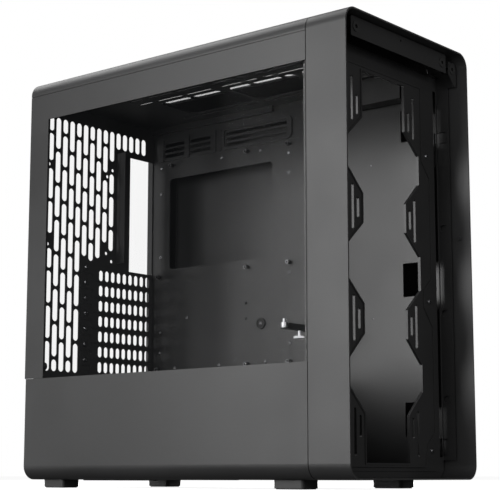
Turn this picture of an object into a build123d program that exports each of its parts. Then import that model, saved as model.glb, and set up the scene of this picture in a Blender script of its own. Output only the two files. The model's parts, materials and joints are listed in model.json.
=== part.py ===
from build123d import *
import os

# An empty mid-tower computer case, made as the real one comes apart: a steel chassis,
# a glass door panel, steel skins, a top cover, a front surround and the small fittings.
# Millimetres. +Z is up, the front faces -Y, +X is to the right seen from the front,
# and the origin is on the floor, midway between the sides and between front and rear.

# ---------------------------------------------------------------- driving dimensions
WIDTH = 252.0
DEPTH = 500.0
HEIGHT = 518.0
BASE = 10.0                  # underside of the body, which is the height of the feet
CORNER_R = 17.0              # long edges of the body
STEEL = 1.0                  # folded sheet
SKIN = 1.0                   # steel side panels
SHELL = 2.0                  # top cover and front surround
GAP = 0.3                    # between pieces that come apart
SEAM_GAP = 1.0               # behind the front surround

SEAM_Y = -196.4              # front surround meets the side panels
SEAM_Z = 498.9               # top cover meets the side panels
WINDOW_TOP = 465.2           # lower edge of the steel strip over the glass
WINDOW_REAR = 217.0          # front edge of the steel strip behind the glass
GLASS_BASE = 134.4           # glass panel meets the lower side panel
GLASS = 3.0

HALF_W = WIDTH / 2
FRONT = -DEPTH / 2
REAR = DEPTH / 2
CHASSIS_X = 120.0            # outer chassis walls
FLOOR_Z = 12.4               # underside of the floor plate
ROOF_Z = 495.0               # underside of the roof plate
WALL_Y = 238.0               # inner face of the rear wall, which stands forward of the rear end
REAR_EDGE = 249.0            # floor, roof and tray run past the wall to here
WALL_LEFT = -121.4
TRAY_X = 92.5                # motherboard side of the tray
FRAME_Y = -209.2             # front face of the front frame
SHROUD_Y = -60.0             # front face of the power supply shroud
SHROUD_Z = GLASS_BASE - STEEL

# Rear wall: columns of upright slots, every second column shifted by half a pitch.
COLUMN_X = -100.5
COLUMN_PITCH = 12.3
SLOT_W = 8.75
SLOT_LEN = 41.25
SLOT_PITCH = 45.25
FIELD_TOP = 477.8
FIELD_BOTTOM = 146.2
VENT_SPLIT_X = -44.6         # joint between the two perforated panels
IO_SPLIT_X = 16.3            # joint between the fan panel and the connector panel
CAGE_TOP = 288.2             # top of the expansion slot frame

# Standard interfaces.
BOARD_FRONT_Y = -3.0
BOARD_COLUMNS = (BOARD_FRONT_Y + 227.33, BOARD_FRONT_Y + 69.85, BOARD_FRONT_Y)
BOARD_CORNER_Y = BOARD_FRONT_Y + 204.47    # the top rear hole stands in front of its column
BOARD_ROWS = (439.5, 439.5 - 154.94, 439.5 - 281.94)
STANDOFF = 6.5
IO_X = (45.6, 90.05)         # 44.45 mm wide connector opening
IO_Z = (288.9, 447.65)       # 158.75 mm tall
CARD_PITCH = 20.32
CARD_COUNT = 7
CARD_Z = 277.4               # centre of the top expansion slot
FAN_CENTRE = (-50.8, 361.5)
FAN_PATTERNS = (105.0, 125.0)
FAN_HOLE_R = 2.2
PSU_X = (-88.0, 62.0)        # 150 mm wide power supply
PSU_Z = (16.0, 102.0)        # 86 mm tall


# ---------------------------------------------------------------- drawing helpers
def middle(span):
    return (span[0] + span[1]) / 2


def length(span):
    return span[1] - span[0]


def box(x, y, z):
    """A block between three (low, high) pairs."""
    centre = Pos(middle(x), middle(y), middle(z))
    return centre * Box(length(x), length(y), length(z))


def rect(u, v, radius=0.0):
    """A rectangular outline, rounded when it has a radius."""
    if radius:
        shape = RectangleRounded(length(u), length(v), radius)
    else:
        shape = Rectangle(length(u), length(v))
    return (Pos(middle(u), middle(v)) * shape).face().outer_wire()


def upright_slot(u, v, width):
    shape = SlotOverall(length(v), width, rotation=90)
    return (Pos(u, middle(v)) * shape).face().outer_wire()


def level_slot(u, v, width):
    return (Pos(middle(u), v) * SlotOverall(length(u), width)).face().outer_wire()


def disc(u, v, radius):
    return (Pos(u, v) * Circle(radius)).face().outer_wire()


def outline(*points):
    return Polygon(*points, align=None).face().outer_wire()


def plate(axis, span, outer, holes=()):
    """Sheet square to an axis. Outlines are (y, z) for x, (x, z) for y, (x, y) for z."""
    planes = {
        "x": Plane((span[0], 0, 0), x_dir=(0, 1, 0), z_dir=(1, 0, 0)),
        "y": Plane((0, span[1], 0), x_dir=(1, 0, 0), z_dir=(0, -1, 0)),
        "z": Plane((0, 0, span[0])),
    }
    plane = planes[axis]
    face = Face(outer, list(holes))
    return Solid.extrude(plane * face, plane.z_dir * length(span))


def rod(axis, span, u, v, radius, bore=0.0):
    """A round bar or tube along an axis, placed like the outlines of plate."""
    holes = [disc(u, v, bore)] if bore else []
    return plate(axis, span, disc(u, v, radius), holes)


def joined(pieces):
    """One solid from pieces that touch."""
    return pieces[0].fuse(*pieces[1:])


def save(name, *pieces):
    """Write one node: a single solid, or a group of separate solids."""
    solids = [solid for piece in pieces for solid in piece.solids()]
    shape = solids[0] if len(solids) == 1 else Compound(solids)
    export_step(shape, f"parts/{name}.step")


def body_ring(y, wall):
    """A length of the body's rounded outline, hollow."""
    outer = rect((-HALF_W, HALF_W), (BASE, HEIGHT), CORNER_R)
    x_in = HALF_W - wall
    inner = rect((-x_in, x_in), (BASE + wall, HEIGHT - wall), CORNER_R - wall)
    return plate("y", y, outer, [inner])


# ---------------------------------------------------------------- feet and floor
FOOT_X = (80.0, 108.5)
FOOT_Y = ((-176.0, -134.5), (195.0, 231.0))
PAD_HEIGHT = 3.0
PAD_INSET = 2.5


def feet():
    """Four plastic feet, each with a rubber pad let into its underside."""
    housings = []
    pads = []
    for side in (-1, 1):
        x = sorted((side * FOOT_X[0], side * FOOT_X[1]))
        for y in FOOT_Y:
            pad_x = (x[0] + PAD_INSET, x[1] - PAD_INSET)
            pad_y = (y[0] + PAD_INSET, y[1] - PAD_INSET)
            block = plate("z", (1.0, FLOOR_Z), rect(x, y, 4.0))
            housings.append(block - box(pad_x, pad_y, (1.0, PAD_HEIGHT)))
            pads.append(box(pad_x, pad_y, (0.0, PAD_HEIGHT)))
    save("foot_housings", *housings)
    save("foot_pads", *pads)


FLOOR_Y = (-207.8, REAR_EDGE)
FILTER_X = (-77.0, 77.0)
FILTER_Y = (68.0, 236.0)
FILTER_Z = (10.2, 12.1)
LIP = 1.0                    # thickness of the ledge that carries the filter
VENT_ROWS = 12
VENT_ROW_PITCH = 11.5
VENT_ROW_Y = 82.0
VENT_COLUMNS = ((-72.0, -14.0), (-10.0, 48.0))
# Left lower corner, in x and z, of an upright sheet that stands inside the folded floor.
FLOOR_CORNER = ((-118.2, 30.5), (-118.2, 21.0), (-110.5, FLOOR_Z + STEEL))


def floor_plate():
    """Floor with turned-up sides, and slots under the power supply's fan."""
    low = CHASSIS_X - 0.1
    outer = outline((-low, 30), (-low, 20), (-112, FLOOR_Z), (112, FLOOR_Z), (low, 20), (low, 30),
                    (low - STEEL, 30), (low - STEEL, 20.5), (111.5, FLOOR_Z + STEEL),
                    (-111.5, FLOOR_Z + STEEL), (-low + STEEL, 20.5), (-low + STEEL, 30))
    floor = plate("y", FLOOR_Y, outer)
    slots = []
    for row in range(VENT_ROWS):
        y = VENT_ROW_Y + row * VENT_ROW_PITCH
        for x in VENT_COLUMNS:
            slots.append(level_slot(x, y, 6.5))
    cutters = [plate("z", (FLOOR_Z - 1, FLOOR_Z + 2), slot) for slot in slots]
    save("floor_plate", floor.cut(*cutters))


def floor_filter():
    """Dust filter that slides out to the rear between two rails under the floor."""
    frame_hole_x = ((FILTER_X[0] + 6, -1.5), (1.5, FILTER_X[1] - 6))
    hole_y = (FILTER_Y[0] + 6, FILTER_Y[1] - 14)
    holes = [rect(x, hole_y, 3.0) for x in frame_hole_x]
    frame = plate("z", FILTER_Z, rect(FILTER_X, FILTER_Y, 3.0), holes)
    grip = box((-18, 18), (FILTER_Y[1] - 2.5, FILTER_Y[1]), (FILTER_Z[0] - LIP, FILTER_Z[0]))
    save("floor_filter_frame", joined([frame, grip]))
    mesh_z = middle(FILTER_Z)
    meshes = [plate("z", (mesh_z - 0.3, mesh_z + 0.3), rect(x, hole_y, 3.0)) for x in frame_hole_x]
    save("floor_filter_mesh", *meshes)
    rail_y = (FILTER_Y[0] + 2, 190.0)
    rails = []
    for side in (-1, 1):
        web_x = sorted((side * (FILTER_X[1] + GAP), side * (FILTER_X[1] + 1.8)))
        lip_x = sorted((side * (FILTER_X[1] - 2.5), side * (FILTER_X[1] + 1.8)))
        low = FILTER_Z[0] - GAP - LIP
        web = box(web_x, rail_y, (low, FLOOR_Z))
        lip = box(lip_x, rail_y, (low, low + LIP))
        rails.append(joined([web, lip]))
    save("filter_rails", *rails)


# ---------------------------------------------------------------- rear wall
WALL_SPAN = (WALL_Y, WALL_Y + 1.0)
STUD_REAR_Y = 226.0
FLANGE_Y = (220.0, REAR_EDGE)
RIB_X = 19.5                 # folded rib beside the connector opening
RIB_DEPTH = 15.9
STUD_FRONT_Y = -193.0
STUD_R = 2.5
SOCKET_BORE = 2.9
PANEL_STUD_Z = (60.0, 470.0)
GLASS_STUD_Z = (150.0, 482.0)
LOWER_STUD_Z = 60.0


def column_slots(index, bottom):
    """Slots of one column, from the top of the field down to a limit, kept off the fan screws."""
    x = COLUMN_X + COLUMN_PITCH * index
    if index % 2:
        spans = [(FIELD_TOP - SLOT_LEN, FIELD_TOP)]
    else:
        spans = [(FIELD_TOP - 18.9, FIELD_TOP), (FIELD_TOP - 22.5 - SLOT_LEN, FIELD_TOP - 22.5)]
    while spans[-1][0] - (SLOT_PITCH - SLOT_LEN) > bottom + SLOT_W:
        top = spans[-1][0] - (SLOT_PITCH - SLOT_LEN)
        spans.append((max(top - SLOT_LEN, bottom), top))
    kept = []
    for low, high in spans:
        pieces = [(low, high)]
        for pattern in FAN_PATTERNS:
            for side_x in (-1, 1):
                for side_z in (-1, 1):
                    hole_x = FAN_CENTRE[0] + side_x * pattern / 2
                    hole_z = FAN_CENTRE[1] + side_z * pattern / 2
                    if abs(hole_x - x) < SLOT_W / 2 + FAN_HOLE_R + 0.8:
                        pieces = around(pieces, hole_z, 5.5)
        kept += [piece for piece in pieces if length(piece) > SLOT_W + 1]
    return [upright_slot(x, piece, SLOT_W) for piece in kept]


def around(pieces, centre, reach):
    """Spans with the stretch near a screw hole taken out."""
    result = []
    for low, high in pieces:
        if centre + reach < low or centre - reach > high:
            result.append((low, high))
            continue
        result += [(low, centre - reach), (centre + reach, high)]
    return result


def fan_holes(x_range):
    holes = []
    for pattern in FAN_PATTERNS:
        for side_x in (-1, 1):
            for side_z in (-1, 1):
                x = FAN_CENTRE[0] + side_x * pattern / 2
                z = FAN_CENTRE[1] + side_z * pattern / 2
                if x_range[0] < x < x_range[1]:
                    holes.append(disc(x, z, FAN_HOLE_R))
    return holes


def side_flange(side, z, stud_heights):
    """A turned-in flange beside the rear wall, bored for the side panels' studs."""
    x = sorted((side * CHASSIS_X, side * (CHASSIS_X + STEEL)))
    holes = [disc(STUD_REAR_Y, height, SOCKET_BORE) for height in stud_heights]
    return plate("x", x, rect(FLANGE_Y, z), holes)


def rear_wall():
    """Five sheets: two perforated ones, the connector panel, the card frame, the supply mount."""
    vent_x = (WALL_LEFT, VENT_SPLIT_X)
    slots = []
    for index in range(5):
        slots += column_slots(index, FIELD_BOTTOM)
    sheet = plate("y", WALL_SPAN, rect(vent_x, (GLASS_BASE, ROOF_Z)), slots + fan_holes(vent_x))
    flange = side_flange(-1, (GLASS_BASE + 4, ROOF_Z), GLASS_STUD_Z)
    save("rear_vent_panel", joined([sheet, flange]))

    fan_x = (VENT_SPLIT_X, IO_SPLIT_X)
    slots = []
    for index in range(5, 10):
        slots += column_slots(index, {8: 320.2, 9: 313.2}.get(index, 295.6))
    sheet = plate("y", WALL_SPAN, rect(fan_x, (CAGE_TOP, ROOF_Z)), slots + fan_holes(fan_x))
    save("rear_fan_panel", sheet)

    holes = [rect(IO_X, IO_Z)]
    for index in range(10, 15):
        x = COLUMN_X + COLUMN_PITCH * index
        holes.append(upright_slot(x, (FIELD_TOP - 22.5, FIELD_TOP), SLOT_W))
    sheet = plate("y", WALL_SPAN, rect((IO_SPLIT_X, TRAY_X), (CAGE_TOP, ROOF_Z)), holes)
    rib = box((RIB_X, RIB_X + STEEL), (WALL_Y - RIB_DEPTH, WALL_Y), (297.0, 449.0))
    save("rear_io_panel", joined([sheet, rib]))

    holes = []
    for index in range(CARD_COUNT):
        z = CARD_Z - CARD_PITCH * index
        holes.append(rect(CARD_OPENING_X, (z - 8.0, z + 8.0), 1.5))
        holes.append(disc(SCREW_X, z + SCREW_RISE, SCREW_R + 0.05))
    sheet = plate("y", WALL_SPAN, rect((VENT_SPLIT_X, TRAY_X), (GLASS_BASE, CAGE_TOP)), holes)
    save("expansion_slot_frame", sheet)

    outer = outline(*FLOOR_CORNER, (TRAY_X, FLOOR_Z + STEEL), (TRAY_X, GLASS_BASE), (WALL_LEFT, GLASS_BASE),
                    (WALL_LEFT, FLOOR_CORNER[0][1]))
    sheet = plate("y", WALL_SPAN, outer, [psu_cutout()] + psu_holes())
    left = side_flange(-1, (32.0, GLASS_BASE - 2), (LOWER_STUD_Z,))
    save("psu_mount_panel", joined([sheet, left]))


def psu_cutout():
    return rect((PSU_X[0] + 12, PSU_X[1] - 12), (PSU_Z[0] + 11, PSU_Z[1] - 11), 4.0)


def psu_holes():
    """The four screws of a standard power supply: 138 apart on top, 64 and 74 below."""
    top = PSU_Z[1] - 6.0
    right = PSU_X[1] - 6.0
    points = ((right - 138.0, top), (right, top), (right, top - 64.0), (right - 114.0, top - 74.0))
    return [disc(x, z, 2.0) for x, z in points]


# ---------------------------------------------------------------- expansion slot covers
SCREW_X = -35.5
SCREW_RISE = 8.6             # above the centre of its slot
SCREW_R = 1.5
SCREW_HEAD_R = 3.6
COVER_Y = (WALL_Y - 1.1, WALL_Y)
CARD_OPENING_X = (-16.0, 86.0)
OVAL_X = -8.0
OVAL_PITCH = 11.05
OVAL_COUNT = 9


def slot_covers():
    """Seven perforated covers, each held by one screw through its tab."""
    covers = []
    screws = []
    for index in range(CARD_COUNT):
        z = CARD_Z - CARD_PITCH * index
        body = outline((-24, z - 9.2), (90, z - 9.2), (90, z + 9.2), (-24, z + 9.2), (-24, z + 17),
                       (-43.6, z + 17), (-43.6, z + 1), (-24, z + 1))
        ovals = [OVAL_X + OVAL_PITCH * j for j in range(OVAL_COUNT)]
        holes = [upright_slot(x, (z - 7.05, z + 7.05), 7.2) for x in ovals]
        holes.append(disc(SCREW_X, z + SCREW_RISE, SCREW_R + 0.05))
        covers.append(plate("y", COVER_Y, body, holes))
        screws.append(panel_screw("y", COVER_Y[0], -1, SCREW_X, z + SCREW_RISE, 5.0))
    save("slot_covers", *covers)
    save("slot_cover_screws", *screws)


def panel_screw(axis, face, outward, u, v, shank, head=2.0, head_r=SCREW_HEAD_R, radius=SCREW_R):
    """A pan-head screw on a face: head on the outward side, shank going in."""
    head_span = sorted((face, face + outward * head))
    shank_span = sorted((face, face - outward * shank))
    top = rod(axis, head_span, u, v, head_r)
    drive_span = sorted((face + outward * head, face + outward * (head - 1.0)))
    drive = plate(axis, drive_span, rect((u - 1.9, u + 1.9), (v - 0.5, v + 0.5)))
    cross = plate(axis, drive_span, rect((u - 0.5, u + 0.5), (v - 1.9, v + 1.9)))
    return joined([top, rod(axis, shank_span, u, v, radius)]).cut(drive, cross)


# ---------------------------------------------------------------- motherboard tray
TRAY_SPAN = (TRAY_X, TRAY_X + STEEL)
CPU_Y = (25.0, 207.0)
CPU_Z = (294.5, 421.0)
CABLE_Y = (-197.0, -175.0)
STRIP_REAR_Y = -165.0        # the tray in front of this is a separate strip
CABLE_Z = ((60.0, 100.0), (225.5, 266.0), (415.0, 455.0))
REAR_VENT_Y = (113.0, 227.0)
FRONT_VENT_Y = (-8.7, 111.3)
VENT_Z = (447.0, 478.5)
LOUVRE_Z = (454.0, 461.5, 469.0)
LOUVRE_H = 4.8
TRAY_SCREWS = ((112, 438.4), (45, 438.5), (-2, 428.4), (-2, 402), (222.5, 438.8), (223, 402), (223, 312.5),
               (173.4, 225.7), (223, 208), (223.6, 180.4), (194.8, 159), (116, 158.6), (-2, 271),
               (-2.4, 180.8), (37.4, 159))
TRAY_RIVETS = ((-131, 392.8), (-131, 202.2))
GROMMET = (44.2, 209.0)
GROMMET_R = 7.2


def motherboard_tray():
    """Upright sheet that carries the motherboard, with its cut-outs, vents and fixings."""
    cable_holes = [rect(CABLE_Y, z, 1.5) for z in CABLE_Z]
    strip = rect((FLOOR_Y[0], STRIP_REAR_Y), (FLOOR_Z + STEEL, ROOF_Z))
    save("tray_cable_strip", plate("x", TRAY_SPAN, strip, cable_holes))

    holes = [rect(CPU_Y, CPU_Z, 6.0)]
    holes.append(rect((-40.0, 40.0), (28.0, 112.0), 8.0))
    holes.append(rect((REAR_VENT_Y[0] + 15, REAR_VENT_Y[1] - 4), (450.0, 473.0), 2.0))
    holes.append(rect((FRONT_VENT_Y[0] + 4, FRONT_VENT_Y[1] - 4), (450.0, 473.0), 2.0))
    holes += [disc(69.0, z, 1.9) for z in (217.0, 237.0)]
    holes += [disc(y, z, 2.0) for y, z in board_points()]
    holes += [disc(y, z, SCREW_R) for y, z in TRAY_SCREWS + (GROMMET,)]
    holes += [disc(y, z, 1.0) for y, z in TRAY_RIVETS]
    sheet = plate("x", TRAY_SPAN, rect((STRIP_REAR_Y, REAR_EDGE), (FLOOR_Z + STEEL, ROOF_Z)), holes)
    edge_x = CHASSIS_X + STEEL
    rear = outline((TRAY_X, FLOOR_Z + STEEL), (110.5, FLOOR_Z + STEEL), (118.2, 21), (118.2, 30.5),
                   (edge_x, 30.5), (edge_x, ROOF_Z), (TRAY_X, ROOF_Z))
    rear_cover = plate("y", (REAR_EDGE - STEEL, REAR_EDGE), rear)
    flange = side_flange(1, (32.0, ROOF_Z), PANEL_STUD_Z)
    save("motherboard_tray", joined([sheet, rear_cover, flange]))

    standoffs = []
    for y, z in board_points():
        hexagon = (Pos(y, z) * RegularPolygon(2.9, 6)).face().outer_wire()
        post = plate("x", (TRAY_X - STANDOFF, TRAY_X), hexagon, [disc(y, z, 1.6)])
        root = rod("x", TRAY_SPAN, y, z, 2.0, 1.6)
        standoffs.append(joined([post, root]))
    save("motherboard_standoffs", *standoffs)

    screws = [panel_screw("x", TRAY_X, -1, y, z, 3.0, 1.4, 2.4) for y, z in TRAY_SCREWS]
    screws.append(panel_screw("x", TRAY_X - 1.0, -1, GROMMET[0], GROMMET[1], 3.0, 1.6, 2.6))
    rivets = [joined([rod("x", (TRAY_X - 0.7, TRAY_X), y, z, 1.7), rod("x", TRAY_SPAN, y, z, 1.0)])
              for y, z in TRAY_RIVETS]
    save("tray_screws", *screws, *rivets)
    ring = rod("x", (TRAY_X - 1.0, TRAY_X), *GROMMET, GROMMET_R, SCREW_R)
    rim = rod("x", (TRAY_X - 2.0, TRAY_X - 1.0), *GROMMET, GROMMET_R, GROMMET_R - 1.3)
    save("ssd_grommet", joined([ring, rim]))


def board_points():
    """The nine fixing points of a full-size motherboard."""
    points = [(y, z) for y in BOARD_COLUMNS for z in BOARD_ROWS]
    points[0] = (BOARD_CORNER_Y, BOARD_ROWS[0])
    return points


def tray_vents():
    """Two louvred plates over the tray's upper openings."""
    span = (TRAY_X - STEEL, TRAY_X)
    proud = (span[0] - 1.6, span[0])
    groups = ((131.5, 168.5), (179.5, 216.0))
    slots = [level_slot(y, z, LOUVRE_H) for y in groups for z in LOUVRE_Z]
    base = plate("x", span, rect(REAR_VENT_Y, VENT_Z, 3.0), slots)
    straps = [plate("x", proud, rect((y, y + 8.2), VENT_Z, 2.0)) for y in (121.3, 169.8, 217.3)]
    save("tray_vent_rear", joined([base] + straps))
    slots = [level_slot((-0.5, 103.0), z, LOUVRE_H) for z in LOUVRE_Z]
    base = plate("x", span, rect(FRONT_VENT_Y, VENT_Z, 8.0), slots)
    inner = rect((FRONT_VENT_Y[0] + 5.5, FRONT_VENT_Y[1] - 5.5), (VENT_Z[0] + 4, VENT_Z[1] - 4), 3.0)
    rim = plate("x", proud, rect(FRONT_VENT_Y, VENT_Z, 8.0), [inner])
    save("tray_vent_front", joined([base, rim]))


# ---------------------------------------------------------------- shroud and drive bay
CAGE_X = (-105.0, 10.0)
CAGE_Y = (-58.0, 75.0)
CAGE_Z = (FLOOR_Z + STEEL, 100.0)
DRIVE_SLOTS = (20.0, 60.0)   # undersides of the two drive trays


def psu_shroud():
    """Cover over the power supply bay, open in front of the drive cage."""
    left = -(CHASSIS_X - 0.1)
    holes = [rect((70.0, 88.0), y, 6.0) for y in ((-40.0, 70.0), (105.0, 215.0))]
    top = plate("z", (SHROUD_Z, GLASS_BASE), rect((left, TRAY_X), (SHROUD_Y, WALL_Y)), holes)
    bay = rect((CAGE_X[0] + 0.8, CAGE_X[1] - 0.8), (16.0, 98.0), 2.0)
    outer = outline(*FLOOR_CORNER, (TRAY_X, FLOOR_Z + STEEL), (TRAY_X, SHROUD_Z), (left, SHROUD_Z),
                    (left, FLOOR_CORNER[0][1]))
    front = plate("y", (SHROUD_Y, SHROUD_Y + STEEL), outer, [bay])
    lip = box((left, left + STEEL), (SHROUD_Y + STEEL, WALL_Y), (122.0, SHROUD_Z))
    save("psu_shroud", joined([top, front, lip]))


def drive_bay():
    """A cage for two drives and the two trays that slide out of its front."""
    left = box((CAGE_X[0], CAGE_X[0] + 1), CAGE_Y, CAGE_Z)
    right = box((CAGE_X[1] - 1, CAGE_X[1]), CAGE_Y, CAGE_Z)
    top = box(CAGE_X, CAGE_Y, (CAGE_Z[1] - 1, CAGE_Z[1]))
    pieces = [left, right, top]
    for z in DRIVE_SLOTS:
        ledge_z = (z - 1.3, z - GAP)
        pieces.append(box((CAGE_X[0] + 1, CAGE_X[0] + 7), CAGE_Y, ledge_z))
        pieces.append(box((CAGE_X[1] - 7, CAGE_X[1] - 1), CAGE_Y, ledge_z))
    save("drive_cage", joined(pieces))
    for name, z in zip(("drive_tray_lower", "drive_tray_upper"), DRIVE_SLOTS):
        save(name, drive_tray(z))


def drive_tray(z):
    """A plastic tray for a 3.5 inch drive: floor, side rails, and a front with a grip hole."""
    x = (CAGE_X[0] + 1.6, CAGE_X[1] - 1.6)
    y = (CAGE_Y[0] + 1.5, CAGE_Y[1] - 2.0)
    window = rect((x[0] + 18, x[1] - 18), (y[0] + 22, y[1] - 22), 5.0)
    base = plate("z", (z, z + 2.0), rect(x, y), [window])
    sides = [box((edge, edge + 2.5), y, (z + 2.0, z + 24.0)) for edge in (x[0], x[1] - 2.5)]
    grip = [rect((middle(x) - 26, middle(x) + 26), (z + 8, z + 18), 4.0)]
    front = plate("y", (y[0], y[0] + 3.0), rect(x, (z + 2.0, z + 26.0)), grip)
    return joined([base, front] + sides)


# ---------------------------------------------------------------- roof and front frame
ROOF_RAILS = (-38.5, -20.5, 66.5)
ROOF_GROUPS = ((134.0, 158.0), (28.0, 127.0), (-41.0, 17.0), (-132.0, -52.0))
COVER_STUDS = ((-104.0, -186.0), (-104.0, 231.0), (104.0, 231.0), (105.4, -186.0))
POST_Z = (FLOOR_Z + 20, 494.0)
POST_Y = (-226.0, -189.0)
BAR_Y = -237.5
BAR_Z = (492.0, 515.0)


def roof_frame():
    """Roof plate with fan slots along its length and turned-down side rails."""
    low = CHASSIS_X - 0.1
    holes = [upright_slot(x, y, 4.6) for x in ROOF_RAILS for y in ROOF_GROUPS if x < 0 or y[0] > -100]
    holes.append(upright_slot(ROOF_RAILS[-1], (-86.0, -52.0), 4.6))
    holes += [rect((-12.0, 58.0), y, 12.0) for y in ((24.0, 132.0), (-88.0, 16.0), (-196.0, -98.0))]
    holes += [rect((-104.0, -62.0), y, 12.0) for y in ((24.0, 132.0), (-88.0, 16.0))]
    holes.append(rect((PANEL_IO_X[0] - 0.5, PANEL_IO_X[1] + 0.5), (PANEL_IO_Y[0] - 0.5, PANEL_IO_Y[1] + 0.5)))
    holes += [disc(x, y, 2.3) for x, y in COVER_STUDS]
    sheet = plate("z", (ROOF_Z, ROOF_Z + STEEL), rect((-low, low), (BAR_BACK_Y - STEEL, REAR_EDGE)), holes)
    rail_y = (POST_Y[1] + 1.5, FLANGE_Y[0] - 0.5)
    rails = []
    for side in (-1, 1):
        x = sorted((side * low, side * (low - STEEL)))
        rails.append(plate("x", x, rect(rail_y, (478.0, ROOF_Z))))
    ledge = box((TRAY_X - 4.5, TRAY_X - GAP), (22.0, WALL_Y), (486.5, ROOF_Z))
    save("roof_frame", joined([sheet, ledge] + rails))


def front_frame():
    """Frame behind the fan bracket that joins floor, posts and roof."""
    low = CHASSIS_X - 0.1
    holes = [rect((-87.0, 87.0), (24.0, 472.0), 6.0)]
    holes += [disc(side * x, z, 2.0) for side in (-1, 1) for x, z in BRACKET_SCREWS]
    outer = outline((-low, 30), (-low, 20), (-112, FLOOR_Z), (112, FLOOR_Z), (low, 20), (low, 30),
                    (low, ROOF_Z), (-low, ROOF_Z))
    # Tall windows at both sides leave the posts and their cable-tie holes open to the front.
    holes += [rect(sorted((side * 110.2, side * (low - 1.2))), (36.0, 478.0)) for side in (-1, 1)]
    sheet = plate("y", (FRAME_Y, FRAME_Y + STEEL), outer, holes)
    save("front_frame", sheet)


def front_posts():
    """Upright side walls of the front, with round cable-tie holes and stud sockets."""
    span = (CHASSIS_X, CHASSIS_X + STEEL)
    holes = [level_slot((-221.2, -210.8), z, 8.6) for z in (103.6, 205.7, 308.3)]
    holes.append(rect((-223.0, -205.0), (385.0, 427.0), 1.0))
    holes.append(rect((-212.0, -205.0), (451.0, 461.0), 1.0))
    holes.append(rect((-215.0, -205.0), (37.5, 57.6), 1.0))
    right_holes = holes + [disc(STUD_FRONT_Y, z, SOCKET_BORE) for z in PANEL_STUD_Z]
    right = plate("x", span, rect(POST_Y, POST_Z), right_holes)
    web = box(span, (BAR_Y, POST_Y[0]), (480.0, POST_Z[1]))
    tab_z = (480.0, 508.0)
    tab_outline = outline((104, 493), (116, 480), (CHASSIS_X + STEEL, 480), (CHASSIS_X + STEEL, 500),
                          (118, tab_z[1]), (104, tab_z[1]))
    tab = plate("y", (BAR_Y, BAR_Y + STEEL), tab_outline, [disc(111.5, 499.5, 3.6)])
    save("front_post_right", joined([right, web, tab]))

    left_holes = holes[:3] + [disc(STUD_FRONT_Y, z, SOCKET_BORE) for z in GLASS_STUD_Z]
    left_holes.append(disc(STUD_FRONT_Y, LOWER_STUD_Z, SOCKET_BORE))
    left = plate("x", (-span[1], -span[0]), rect(POST_Y, POST_Z), left_holes)
    save("front_post_left", left)


BAR_BACK_Y = -210.6
SNAP_X = 89.0
SNAP_Z = 503.5


def front_top_bar():
    """Channel over the front opening, with sockets for the studs of a front cover."""
    holes = [disc(side * SNAP_X, SNAP_Z, 3.6) for side in (-1, 1)]
    holes.append(disc(1.0, 509.0, 1.4))
    face = plate("y", (BAR_Y, BAR_Y + STEEL), rect((-98.0, 98.0), BAR_Z, 2.0), holes)
    top = box((-96.0, 96.0), (BAR_Y + STEEL, BAR_BACK_Y), (BAR_Z[1] - STEEL, BAR_Z[1]))
    back = box((-96.0, 96.0), (BAR_BACK_Y - STEEL, BAR_BACK_Y), (ROOF_Z + STEEL, BAR_Z[1] - STEEL))
    save("front_top_bar", joined([face, top, back]))
    places = [(-SNAP_X, SNAP_Z), (SNAP_X, SNAP_Z), (111.5, 499.5)]
    sockets = []
    for x, z in places:
        flange = rod("y", (BAR_Y - 1.0, BAR_Y), x, z, 6.0, 2.4)
        barrel = rod("y", (BAR_Y, BAR_Y + 7.0), x, z, 3.5, 2.4)
        sockets.append(joined([flange, barrel]))
    save("snap_sockets", *sockets)


# ---------------------------------------------------------------- fan bracket
BRACKET_Y = (-210.6, FRAME_Y - 0.2)
BRACKET_RISE = 1.4
BEAD = 2.0                   # width of the pressed beads
BEAD_RISE = 0.9
EARS = (61.0, 185.2, 309.3, 433.5)
BRACKET_SCREWS = ((92.5, 393.0), (93.0, 217.5), (93.0, 43.0))


def fan_bracket():
    """Removable fan plate: four pairs of slotted ears around a waisted opening."""
    half_outer = [(102, 487), (110, 478), (110, 28), (102, 19.6)]
    half_inner = [(43, 468.5), (43, 413.5), (72, 388.7), (72, 354), (43, 327), (43, 293), (72, 268),
                  (72, 228), (43, 202.7), (43, 169.3), (72, 141.5), (72, 110), (43, 82), (43, 28.5)]
    half_step = [(80, 475), (80, 385), (97, 366), (97, 243.7), (80, 228.3), (80, 209.8), (98, 188),
                 (98, 63.4), (82, 47.8), (78, 24)]
    slots = []
    for centre in EARS:
        for side in (-1, 1):
            tilt = {EARS[0]: 7.1, EARS[3]: -7.0}.get(centre, 0.0)
            inner = (centre + tilt - 12.0, centre + tilt + 12.0)
            outer = (centre + tilt * 0.1 - 26.0, centre + tilt * 0.1 + 26.0)
            slots.append(upright_slot(side * 52.5, inner, 4.6))
            slots.append(upright_slot(side * 62.5, outer, 4.6))
    screw_holes = [disc(side * x, z, 2.0) for side in (-1, 1) for x, z in BRACKET_SCREWS]
    sheet = plate("y", BRACKET_Y, both_sides(half_outer), [both_sides(half_inner)] + slots + screw_holes)
    pad_span = (BRACKET_Y[0] - BRACKET_RISE, BRACKET_Y[0])
    pad = plate("y", pad_span, both_sides(half_step), [both_sides(half_inner)] + slots)
    bead_span = (pad_span[0] - BEAD_RISE, pad_span[0])
    step_bead = plate("y", bead_span, both_sides(half_step), [grown(both_sides(half_step), -BEAD)])
    edge_bead = plate("y", bead_span, grown(both_sides(half_inner), BEAD), [both_sides(half_inner)])
    save("fan_bracket", joined([sheet, pad, step_bead, edge_bead]))
    screws = []
    for side in (-1, 1):
        for x, z in BRACKET_SCREWS:
            screws.append(panel_screw("y", BRACKET_Y[0], -1, side * x, z, 2.5, 2.0, 3.4))
    save("fan_bracket_screws", *screws)


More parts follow.
